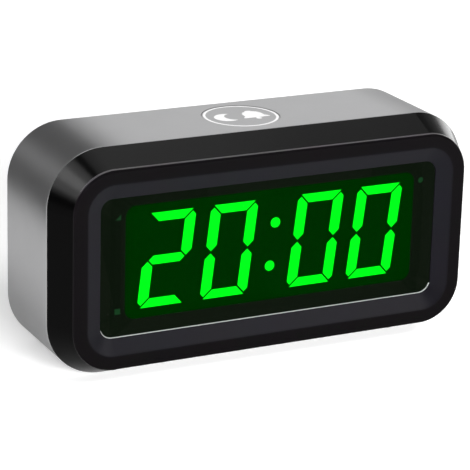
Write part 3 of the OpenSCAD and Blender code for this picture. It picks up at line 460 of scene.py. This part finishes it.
def bezelFinish(look):
    material, tree, shader, place = newMaterial("gloss moulded black ABS")
    axes = addNode(tree, "ShaderNodeSeparateXYZ", {0: place}).outputs
    over = [addNode(tree, "ShaderNodeMath", {0: past, 1: 0.0}, operation="MAXIMUM").outputs[0]
            for off, past in pastStraights(tree, axes)]
    corner = addNode(tree, "ShaderNodeCombineXYZ", {0: over[0], 1: over[1]})
    length = addNode(tree, "ShaderNodeVectorMath", {0: corner.outputs[0]}, operation="LENGTH")
    reach = length.outputs["Value"]
    zones = []
    for inset, soft in (look["slopeFrom"], look["rimFrom"]):
        edge = (caseOutline["corner"] - inset) * mm
        zones.append(addNode(tree, "ShaderNodeMapRange", {
            "Value": reach, "From Min": edge + soft * mm, "From Max": edge - soft * mm,
            "To Min": 0.0, "To Max": 1.0}, interpolation_type="SMOOTHSTEP").outputs[0])
    slope, front = zones
    grain = addNode(tree, "ShaderNodeTexNoise", {
        "Vector": place, "Scale": 1 / (look["grain"] * mm), "Detail": 2.0})
    flow = addNode(tree, "ShaderNodeTexNoise", {
        "Vector": place, "Scale": 1 / (look["flow"] * mm), "Detail": 2.0})
    # the band's colour, darker than the rim's, is painted shade
    tone = addNode(tree, "ShaderNodeMix", {
        0: front, 6: srgb(look["band"]), 7: srgb(look["rim"])}, data_type="RGBA")
    tone = addNode(tree, "ShaderNodeMix", {
        0: slope, 6: tone.outputs[2], 7: srgb(look["satin"])}, data_type="RGBA")
    # painted highlight: a lighter line along the rim's rounded edge, only near the top
    line = addNode(tree, "ShaderNodeMath", {
        0: reach, 1: (caseOutline["corner"] - look["rimFrom"][0]) * mm, 2: look["edgeWidth"] * mm},
        operation="COMPARE")
    high = addNode(tree, "ShaderNodeMapRange", {
        "Value": axes["Z"], "From Min": look["highlightOver"][0] * mm, "From Max": look["highlightOver"][1] * mm})
    paintedHighlight = addNode(tree, "ShaderNodeMath", {0: line.outputs[0], 1: high.outputs[0]}, operation="MULTIPLY")
    tone = addNode(tree, "ShaderNodeMix", {
        0: paintedHighlight.outputs[0], 6: tone.outputs[2], 7: srgb(look["paintedHighlight"])}, data_type="RGBA")
    tone = addNode(tree, "ShaderNodeMix", {
        0: look["flowTone"], 6: tone.outputs[2], 7: flow.outputs[1]},
        data_type="RGBA", blend_type="SOFT_LIGHT")
    rough = addNode(tree, "ShaderNodeMix", {0: slope, 2: look["glossRough"], 3: look["satinRough"]})
    gloss = addNode(tree, "ShaderNodeMath", {
        0: flow.outputs[0], 1: look["flowRough"], 2: rough.outputs[0]}, operation="MULTIPLY_ADD")
    height = addNode(tree, "ShaderNodeMath", {0: grain.outputs[0], 1: slope}, operation="MULTIPLY")
    relief = addNode(tree, "ShaderNodeBump", {
        "Height": height.outputs[0], "Strength": 1.0, "Distance": look["grainHeight"] * mm})
    wire(tree, shader, {
        "Base Color": tone.outputs[2], "Roughness": gloss.outputs[0], "Normal": relief.outputs[0],
        "IOR": look["ior"], "Coat Weight": slope, "Coat Roughness": look["coatRough"],
        "Coat IOR": look["coatIor"]})
    return material


# smoked acrylic window: dark green glass, hardly any reflection, clear view of the lit segments
lensLook = {
    "colour": "#8fb896", "other": "#96bd9c", "patch": 25.0,    # mm, haze in the tint
    "rough": 0.0,
    "ior": 1.03,                                 # acrylic has 1.49: lowered, as the window hardly mirrors
}


def lensFinish(look):
    material, tree, shader, place = newMaterial("smoked green acrylic")
    wire(tree, shader, {
        "Base Color": cloudyTone(tree, place, look)[1], "Roughness": look["rough"], "IOR": look["ior"],
        "Transmission Weight": 1.0})
    return material


# pieces behind the window, which show the light that is in them and no gloss; the unlit lamp marks get a
# painted glow
glows = {
    # filled light guide: even bright green, a shade paler in clouds
    "lit green polycarbonate": {
        "colour": "#00ff18", "other": "#06ff20", "patch": 9.0, "strength": 3.2,
    },
    # block round the guides and its unlit segments: deep green from stray light
    "moulded dark polycarbonate": {
        "colour": "#003900", "other": "#003d01", "patch": 20.0, "strength": 1.0,
    },
    # lamp marks with no light behind them: dull grey green, shown as a painted glow in place of the room
    # light on them
    "unlit green polycarbonate": {
        "colour": "#30523a", "other": "#34583f", "patch": 2.0, "strength": 1.0,
    },
}
glowBody = {"colour": "#001003", "rough": 0.4}    # their own surface in room light


def glowFinish(name, look):
    material, tree, shader, place = newMaterial(name)
    wire(tree, shader, {
        "Base Color": srgb(glowBody["colour"]), "Roughness": glowBody["rough"], "Specular IOR Level": 0.0,
        "Emission Color": cloudyTone(tree, place, look, detail=1.0)[1],
        "Emission Strength": look["strength"]})
    return material


# solder mask over glass cloth: green, with copper runs showing paler under it
boardLook = {
    "mask": ("#14512b", "#18592f"), "run": "#2f7d49",
    "unit": 10.0,                                # mm, unit of the pattern of runs
    "runWidth": 0.03, "field": (0.9, 0.2), "stagger": 0.35,    # in units
    "runHeight": 0.03,                           # mm
    "weave": 0.5, "weaveTone": 0.15,             # mm, and how much of it tints the mask
    "rough": (0.28, 0.42),
}


def boardFinish(look):
    material, tree, shader, place = newMaterial("solder masked glass epoxy")
    turned = addNode(tree, "ShaderNodeMapping", {"Vector": place, "Rotation": (math.radians(90), 0.0, 0.0)})
    runs = addNode(tree, "ShaderNodeTexBrick", {
        "Vector": turned.outputs[0], "Color1": srgb(look["mask"][0]), "Color2": srgb(look["mask"][1]),
        "Mortar": srgb(look["run"]), "Scale": 1 / (look["unit"] * mm), "Mortar Size": look["runWidth"],
        "Brick Width": look["field"][0], "Row Height": look["field"][1]}, offset=look["stagger"])
    weave = addNode(tree, "ShaderNodeTexNoise", {
        "Vector": place, "Scale": 1 / (look["weave"] * mm), "Detail": 1.0})
    tone = addNode(tree, "ShaderNodeMix", {
        0: look["weaveTone"], 6: runs.outputs[0], 7: weave.outputs[1]},
        data_type="RGBA", blend_type="SOFT_LIGHT")
    relief = addNode(tree, "ShaderNodeBump", {
        "Height": runs.outputs[1], "Strength": 1.0, "Distance": look["runHeight"] * mm})
    gloss = addNode(tree, "ShaderNodeMapRange", {
        "Value": weave.outputs[0], "To Min": look["rough"][0], "To Max": look["rough"][1]})
    wire(tree, shader, {
        "Base Color": tone.outputs[2], "Roughness": gloss.outputs[0], "Normal": relief.outputs[0]})
    return material


# printed foil jacket of an AA cell: plain grey green, a paler band at the plus end, bare nickel at both ends
cellLook = {
    "pitch": 50.6, "length": 50.5, "start": 48.3,    # mm along X, two cells end to end
    "rowSplit": 22.25,                           # mm, the cells above it point the other way
    "body": "#3a4a3c", "line": "#d9d4c8", "band": "#7c8a7e", "nickel": "#c9c5bd",
    "jacket": (0.012, 0.962), "bandFrom": 0.86, "lineWidth": 0.012,    # shares of the length
    "scuff": 3.0, "rough": (0.22, 0.4),          # mm
    "metallic": 0.75,
}


def cellFinish(look):
    material, tree, shader, place = newMaterial("printed foil jacket")
    axes = addNode(tree, "ShaderNodeSeparateXYZ", {0: place}).outputs
    upper = addNode(tree, "ShaderNodeMath", {
        0: axes["Z"], 1: look["rowSplit"] * mm}, operation="GREATER_THAN")
    sign = addNode(tree, "ShaderNodeMapRange", {"Value": upper.outputs[0], "To Min": 1.0, "To Max": -1.0})
    along = addNode(tree, "ShaderNodeMath", {
        0: axes["X"], 1: sign.outputs[0], 2: look["start"] * mm}, operation="MULTIPLY_ADD")
    local = addNode(tree, "ShaderNodeMath", {
        0: along.outputs[0], 1: look["pitch"] * mm}, operation="FLOORED_MODULO")
    part = addNode(tree, "ShaderNodeMath", {
        0: local.outputs[0], 1: look["length"] * mm}, operation="DIVIDE")
    ramp = addNode(tree, "ShaderNodeValToRGB", {0: part.outputs[0]})
    stops = ramp.color_ramp
    stops.interpolation = "CONSTANT"
    stops.elements[0].color = srgb(look["nickel"])
    stops.elements.remove(stops.elements[1])
    for at, colour in (
            (look["jacket"][0], "body"), (look["bandFrom"], "line"),
            (look["bandFrom"] + look["lineWidth"], "band"), (look["jacket"][1], "nickel")):
        stops.elements.new(at).color = srgb(look[colour])
    scuff = addNode(tree, "ShaderNodeTexNoise", {
        "Vector": place, "Scale": 1 / (look["scuff"] * mm), "Detail": 4.0})
    gloss = addNode(tree, "ShaderNodeMapRange", {
        "Value": scuff.outputs[0], "To Min": look["rough"][0], "To Max": look["rough"][1]})
    wire(tree, shader, {
        "Base Color": ramp.outputs[0], "Roughness": gloss.outputs[0], "Metallic": look["metallic"]})
    return material


# flat cable: grey PVC with a groove between every two cores, darker in the groove as painted shade
cableLook = {
    "pitch": 1.27, "depth": 0.3,                 # mm
    "grooveShade": "#84858a", "core": "#a5a6aa", "rough": 0.45,
}
waveLength = 2 * math.pi / 20                    # of a wave texture at scale 1


def cableFinish(look):
    material, tree, shader, place = newMaterial("grey flat cable PVC")
    cores = addNode(tree, "ShaderNodeTexWave", {
        "Vector": place, "Scale": waveLength / (look["pitch"] * mm), "Distortion": 0.0},
        wave_type="BANDS", bands_direction="X")
    tone = addNode(tree, "ShaderNodeMix", {
        0: cores.outputs[1], 6: srgb(look["grooveShade"]), 7: srgb(look["core"])}, data_type="RGBA")
    relief = addNode(tree, "ShaderNodeBump", {
        "Height": cores.outputs[1], "Strength": 1.0, "Distance": look["depth"] * mm})
    wire(tree, shader, {
        "Base Color": tone.outputs[2], "Roughness": look["rough"], "Normal": relief.outputs[0]})
    return material


# finishes with a second colour past one plane, in mm
twoTones = {
    # capacitor shrink sleeve: blue-black gloss with a pale stripe down one side
    "shrink sleeved capacitor": {
        "colour": "#1b2540", "other": "#222d4a", "patch": 1.5, "rough": (0.2, 0.32),
        "axis": "Z", "from": corners("capacitors")[1][2] - 0.7, "past": "#b9bfca",
    },
    # PVC lead insulation: red on the plus side, black on the minus side
    "PVC lead insulation": {
        "colour": "#8d1616", "other": "#9f1d1b", "patch": 2.0, "rough": (0.36, 0.5),
        "axis": "X", "from": -40.6, "past": "#1c1c1e",
    },
}


def twoToneFinish(name, look):
    material, tree, shader, place = newMaterial(name)
    axes = addNode(tree, "ShaderNodeSeparateXYZ", {0: place}).outputs
    past = addNode(tree, "ShaderNodeMath", {
        0: axes[look["axis"]], 1: look["from"] * mm}, operation="GREATER_THAN")
    cloud, base = cloudyTone(tree, place, look)
    tone = addNode(tree, "ShaderNodeMix", {
        0: past.outputs[0], 6: base, 7: srgb(look["past"])}, data_type="RGBA")
    gloss = addNode(tree, "ShaderNodeMapRange", {
        "Value": cloud, "To Min": look["rough"][0], "To Max": look["rough"][1]})
    wire(tree, shader, {"Base Color": tone.outputs[2], "Roughness": gloss.outputs[0]})
    return material


paints.update({name: glowFinish(name, look) for name, look in glows.items()})
paints.update({name: twoToneFinish(name, look) for name, look in twoTones.items()})
for material in (
        lacquerFinish(lacquerLook), bezelFinish(bezelLook), lensFinish(lensLook),
        boardFinish(boardLook), cellFinish(cellLook), cableFinish(cableLook)):
    paints[material.name] = material

dressing = {
    "gloss moulded black ABS": ["front_bezel"],
    "smoked green acrylic": ["window_lens"],
    "printed polyester film": ["window_mask"],
    "satin graphite lacquer": ["case_sleeve", "snooze_button"],
    "spark textured black ABS": ["rear_cover", "battery_door"],
    "moulded dark polycarbonate": ["digit_block", "unlit_segments"],
    "lit green polycarbonate": ["digit_1", "digit_2", "digit_3", "digit_4", "colon_dots"],
    "unlit green polycarbonate": ["indicator_lamps"],
    "moulded cream nylon": ["led_chips", "ribbon_headers"],
    "solder masked glass epoxy": ["display_board", "main_board", "snooze_board"],
    "zinc plated steel": [
        "display_screws", "board_screws", "snooze_screws", "clock_crystal", "alarm_switch_body"],
    "grey flat cable PVC": ["ribbon_cable", "snooze_lead"],
    "moulded black epoxy": ["controller_chip", "buzzer", "set_switches", "snooze_switch"],
    "shrink sleeved capacitor": ["capacitors"],
    "moulded silicone rubber": ["set_button_1", "set_button_2", "set_button_3", "set_button_4"],
    "moulded grey acetal": [
        "set_plunger_1", "set_plunger_2", "set_plunger_3", "set_plunger_4", "snooze_plunger"],
    "moulded white ABS": ["alarm_switch_knob"],
    "printed foil jacket": ["aa_cells"],
    "nickel plated spring steel": ["contact_springs", "contact_plates"],
    "PVC lead insulation": ["battery_leads"],
    "black zinc steel": ["rear_screws"],
    "moulded nitrile rubber": ["rubber_feet"],
}
for paint, names in dressing.items():
    for name in names:
        nodes[name].data.materials.clear()
        nodes[name].data.materials.append(paints[paint])
print("finishes on", sum(len(names) for names in dressing.values()), "CAD nodes")


# printed marks: flat outlines in mm, filled and given the ink's thickness
def ring(u, v, radius, count=48, start=0.0, turn=360.0):
    steps = count if turn == 360.0 else count + 1
    return [(u + radius * math.cos(math.radians(start + turn * i / count)),
             v + radius * math.sin(math.radians(start + turn * i / count))) for i in range(steps)]


moonShape = {
    "start": 60, "turn": 240,                    # degrees, outer arc
    "bite": 0.25,                                # radii, from the tips' line to the centre of the inner arc
    "points": (40, 30),                          # outer and inner arc
}


def crescent(u, v, radius):
    outer = ring(u, v, radius, moonShape["points"][0], moonShape["start"], moonShape["turn"])
    tip = Vector(outer[0]) - Vector(outer[-1])
    middle = (Vector(outer[0]) + Vector(outer[-1])) / 2
    across = Vector((tip.y, -tip.x)).normalized()
    centre = middle + across * radius * moonShape["bite"]
    bite = (Vector(outer[0]) - centre).length
    first = math.degrees(math.atan2(outer[-1][1] - centre.y, outer[-1][0] - centre.x))
    last = math.degrees(math.atan2(outer[0][1] - centre.y, outer[0][0] - centre.x))
    inner = ring(centre.x, centre.y, bite, moonShape["points"][1], first, -((first - last) % 360))
    return outer + inner[1:-1]


bellShape = {                                    # in sizes of the bell
    "half": [(0.0, 0.52), (0.10, 0.50), (0.12, 0.42), (0.27, 0.34),
             (0.35, 0.16), (0.36, -0.10), (0.48, -0.26), (0.48, -0.32)],
    "clapperDrop": 0.43, "clapper": 0.10, "clapperPoints": 16,
}


def bell(u, v, size):
    half = bellShape["half"]
    body = [(u + x * size, v + y * size) for x, y in half]
    body += [(u - x * size, v + y * size) for x, y in reversed(half[1:])]
    drop, radius = bellShape["clapperDrop"] * size, bellShape["clapper"] * size
    return [body, ring(u, v - drop, radius, bellShape["clapperPoints"])]


mergeWithin = 0.001                              # mm, points closer than this become one


def finishPiece(name, mesh, paint, body):
    work = bmesh.new()
    work.from_mesh(mesh)
    bmesh.ops.remove_doubles(work, verts=work.verts, dist=mergeWithin * mm)
    bmesh.ops.recalc_face_normals(work, faces=work.faces)
    work.to_mesh(mesh)
    work.free()
    mesh.name = name
    mesh.materials.clear()
    mesh.materials.append(paints[paint])
    piece = bpy.data.objects.new(name, mesh)
    scene.collection.objects.link(piece)
    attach(piece, body)


def plainMesh(holder):                           # what a curve or a node tree gives, as a mesh of its own
    bpy.context.view_layer.update()
    shown = holder.evaluated_get(bpy.context.evaluated_depsgraph_get())
    return bpy.data.meshes.new_from_object(shown)


def inkPiece(name, loops, place, thick, paint, body):
    curve = bpy.data.curves.new(name, "CURVE")
    curve.dimensions = "2D"
    curve.fill_mode = "BOTH"
    curve.extrude = thick / 2 * mm
    for loop in loops:
        spline = curve.splines.new("POLY")
        spline.points.add(len(loop) - 1)
        for point, (u, v) in zip(spline.points, loop):
            point.co = (u * mm, v * mm, 0.0, 1.0)
        spline.use_cyclic_u = True
    flat = bpy.data.objects.new(name, curve)
    scene.collection.objects.link(flat)
    mesh = plainMesh(flat)
    bpy.data.objects.remove(flat)
    mesh.transform(place)
    finishPiece(name, mesh, paint, body)


def sketchPlane(origin, right, up):
    out = Vector(right).cross(Vector(up))
    turn = Matrix((Vector(right), Vector(up), out)).transposed().to_4x4()
    return Matrix.Translation(Vector(origin) * mm) @ turn


inkLift = 0.01                                   # mm, from a surface to the middle of the ink on it
capLow, capHigh = corners("snooze_button")
snoozePrint = {
    "centre": ((capLow[0] + capHigh[0]) / 2, (capLow[1] + capHigh[1]) / 2, capHigh[2] + inkLift),
    "outer": 12.3, "line": 0.82, "points": 128,  # mm, ring
    "thick": 0.035,
    "moon": (-4.9, 0.0, 4.3), "bell": (4.6, 0.0, 9.6),    # mm, place and size
}


def snoozeMarks(look):
    rim = [ring(0, 0, radius, look["points"]) for radius in (look["outer"], look["outer"] - look["line"])]
    return rim + [crescent(*look["moon"])] + bell(*look["bell"])


onTop = sketchPlane(snoozePrint["centre"], (1, 0, 0), (0, 1, 0))
inkPiece("snooze_print", snoozeMarks(snoozePrint), onTop, snoozePrint["thick"],
         "pad printed white ink", "snooze")

rearPrint = {
    "face": corners("rear_cover")[1][1] + inkLift,      # mm, rear face
    "height": corners("set_button_1")[1][2] + 3.1,      # mm, row of marks above the buttons
    "thick": 0.04, "line": 0.45,
    "plus": (-18.0, 1.6),                        # mm, place along X and length of an arm
    "minus": (-4.0, 1.6),
    "bell": (10.0, 4.0),                         # mm, place and size
    "clock": (24.0, 2.0), "hands": (1.2, 1.0),   # mm, place and radius, lengths up and across
    "off": (36.6, 1.5), "on": (42.4, 3.2),       # mm, ring and bell each side of the alarm switch
}


def rearMarks(look):                             # seen from behind, so that X runs to the left
    h, w = look["height"], look["line"] / 2
    u, arm = -look["minus"][0], look["minus"][1]
    marks = [[(u - arm, h - w), (u + arm, h - w), (u + arm, h + w), (u - arm, h + w)]]
    u, arm = -look["plus"][0], look["plus"][1]
    marks.append([(u + x, h + y) for x, y in (
        (-arm, -w), (-w, -w), (-w, -arm), (w, -arm), (w, -w), (arm, -w),
        (arm, w), (w, w), (w, arm), (-w, arm), (-w, w), (-arm, w))])
    for place, size in (look["bell"], look["on"]):
        marks += bell(-place, h, size)
    for place, radius in (look["clock"], look["off"]):
        marks += [ring(-place, h, radius), ring(-place, h, radius - look["line"])]
    u, (tall, wide) = -look["clock"][0], look["hands"]
    marks.append([
        (u - w, h + tall), (u - w, h - w), (u + wide, h - w),
        (u + wide, h + w), (u + w, h + w), (u + w, h + tall)])
    return marks


onRear = sketchPlane((0, rearPrint["face"], 0), (-1, 0, 0), (0, 0, 1))
inkPiece("rear_print", rearMarks(rearPrint), onRear, rearPrint["thick"],
         "pad printed white ink", "clock")
print("marks printed")

# repeated and path-following pieces come from Geometry Nodes, with their dictionary as named inputs
socketKinds = {
    int: "NodeSocketInt", float: "NodeSocketFloat", Vector: "NodeSocketVector",
    bpy.types.Material: "NodeSocketMaterial",
}


def openTree(name, look):
    tree = bpy.data.node_groups.new(name, "GeometryNodeTree")
    for label, value in look.items():
        tree.interface.new_socket(label, in_out="INPUT", socket_type=socketKinds[type(value)])
    tree.interface.new_socket("Geometry", in_out="OUTPUT", socket_type="NodeSocketGeometry")
    return tree, tree.nodes.new("NodeGroupInput").outputs


def closeTree(tree, given, geometry):
    real = addNode(tree, "GeometryNodeRealizeInstances", {"Geometry": geometry})
    coat = addNode(tree, "GeometryNodeSetMaterial", {
        "Geometry": real.outputs[0], "Material": given["Paint"]})
    addNode(tree, "NodeGroupOutput", {"Geometry": coat.outputs[0]})
    return tree


def growPiece(name, tree, look, paint, body):
    holder = bpy.data.objects.new(name, bpy.data.meshes.new(name))
    scene.collection.objects.link(holder)
    modifier = holder.modifiers.new(name, "NODES")
    modifier.node_group = tree
    for item in tree.interface.items_tree:
        if item.in_out == "INPUT":
            modifier[item.identifier] = look[item.name]
    mesh = plainMesh(holder)
    holder.modifiers.remove(modifier)
    bpy.data.objects.remove(holder)
    finishPiece(name, mesh, paint, body)


# half-round grip ribs across the battery door, under its pull
ribSink = 0.12                                   # mm, from the door's face in to the middle of a rib
ribFoot = 28.6                                   # mm, height of the lowest rib
gripRibs = {
    "Count": 5, "Pitch": 1.7 * mm, "Length": 26 * mm, "Radius": 0.45 * mm, "Sides": 16,
    "Lowest": Vector((0.0, (corners("battery_door")[1][1] - ribSink) * mm, ribFoot * mm)),
    "Paint": paints["spark textured black ABS"],
}


def ribTree(look):
    tree, given = openTree("grip ribs", look)
    half = addNode(tree, "ShaderNodeMath", {0: given["Length"], 1: 0.5}, operation="MULTIPLY")
    back = addNode(tree, "ShaderNodeMath", {0: half.outputs[0], 1: -1.0}, operation="MULTIPLY")
    start = addNode(tree, "ShaderNodeCombineXYZ", {0: back.outputs[0]})
    end = addNode(tree, "ShaderNodeCombineXYZ", {0: half.outputs[0]})
    line = addNode(tree, "GeometryNodeCurvePrimitiveLine", {
        "Start": start.outputs[0], "End": end.outputs[0]})
    section = addNode(tree, "GeometryNodeCurvePrimitiveCircle", {
        "Resolution": given["Sides"], "Radius": given["Radius"]})
    rib = addNode(tree, "GeometryNodeCurveToMesh", {
        "Curve": line.outputs[0], "Profile Curve": section.outputs[0], "Fill Caps": True})
    step = addNode(tree, "ShaderNodeCombineXYZ", {2: given["Pitch"]})
    rows = addNode(tree, "GeometryNodeMeshLine", {
        "Count": given["Count"], "Start Location": given["Lowest"], "Offset": step.outputs[0]})
    ribs = addNode(tree, "GeometryNodeInstanceOnPoints", {
        "Points": rows.outputs[0], "Instance": rib.outputs[0]})
    return closeTree(tree, given, ribs.outputs[0])


growPiece("door_grip_ribs", ribTree(gripRibs), gripRibs, "spark textured black ABS", "door")

# pale polished edge along the foot of the window, running out round its lower corners: a painted highlight,
# only where light from above catches the edge
lensLow, lensHigh = corners("window_lens")
edgeInset, edgeProud = 1.52, 0.1                 # mm, in from the window's outline and in front of it
windowEdge = {
    "Width": (lensHigh[0] - lensLow[0] - 2 * edgeInset) * mm,
    "Height": (lensHigh[2] - lensLow[2] - 2 * edgeInset) * mm,
    "Corner": 4.1 * mm, "Corner Points": 10, "Points": 260,
    "Radius": 0.2 * mm, "Sides": 12,
    "Full Below": -0.495, "Ends At": -0.43,      # heights from the window's middle, in window heights
    "Tip": 0.05,                                 # share of the radius left at the ends
    "Place": Vector((0.0, (lensLow[1] - edgeProud) * mm, caseMiddle * mm)),
    "Paint": paints["acrylic edge highlight"],
}


def edgeTree(look):
    tree, given = openTree("window edge", look)
    outline = addNode(tree, "GeometryNodeCurvePrimitiveQuadrilateral", {
        "Width": given["Width"], "Height": given["Height"]})
    rounded = addNode(tree, "GeometryNodeFilletCurve", {
        "Curve": outline.outputs[0], "Radius": given["Corner"], "Count": given["Corner Points"]},
        mode="POLY")
    dense = addNode(tree, "GeometryNodeResampleCurve", {
        "Curve": rounded.outputs[0], "Count": given["Points"]})
    spot = addNode(tree, "GeometryNodeInputPosition")
    axes = addNode(tree, "ShaderNodeSeparateXYZ", {0: spot.outputs[0]}).outputs
    level = addNode(tree, "ShaderNodeMath", {0: axes["Y"], 1: given["Height"]}, operation="DIVIDE")
    upper = addNode(tree, "ShaderNodeMath", {
        0: level.outputs[0], 1: given["Ends At"]}, operation="GREATER_THAN")
    foot = addNode(tree, "GeometryNodeDeleteGeometry", {
        "Geometry": dense.outputs[0], "Selection": upper.outputs[0]})
    opened = addNode(tree, "GeometryNodeSetSplineCyclic", {"Geometry": foot.outputs[0], "Cyclic": False})
    thin = addNode(tree, "ShaderNodeMapRange", {
        "Value": level.outputs[0], "From Min": given["Full Below"], "From Max": given["Ends At"],
        "To Min": 1.0, "To Max": given["Tip"]})
    tapered = addNode(tree, "GeometryNodeSetCurveRadius", {
        "Curve": opened.outputs[0], "Radius": thin.outputs[0]})
    section = addNode(tree, "GeometryNodeCurvePrimitiveCircle", {
        "Resolution": given["Sides"], "Radius": given["Radius"]})
    edge = addNode(tree, "GeometryNodeCurveToMesh", {
        "Curve": tapered.outputs[0], "Profile Curve": section.outputs[0], "Fill Caps": True})
    stood = addNode(tree, "GeometryNodeTransform", {
        "Geometry": edge.outputs[0], "Translation": given["Place"],
        "Rotation": (math.radians(90), 0.0, 0.0)})
    return closeTree(tree, given, stood.outputs[0])


growPiece("window_edge_highlight", edgeTree(windowEdge), windowEdge, "acrylic edge highlight", "clock")
print("ribs and window edge grown")
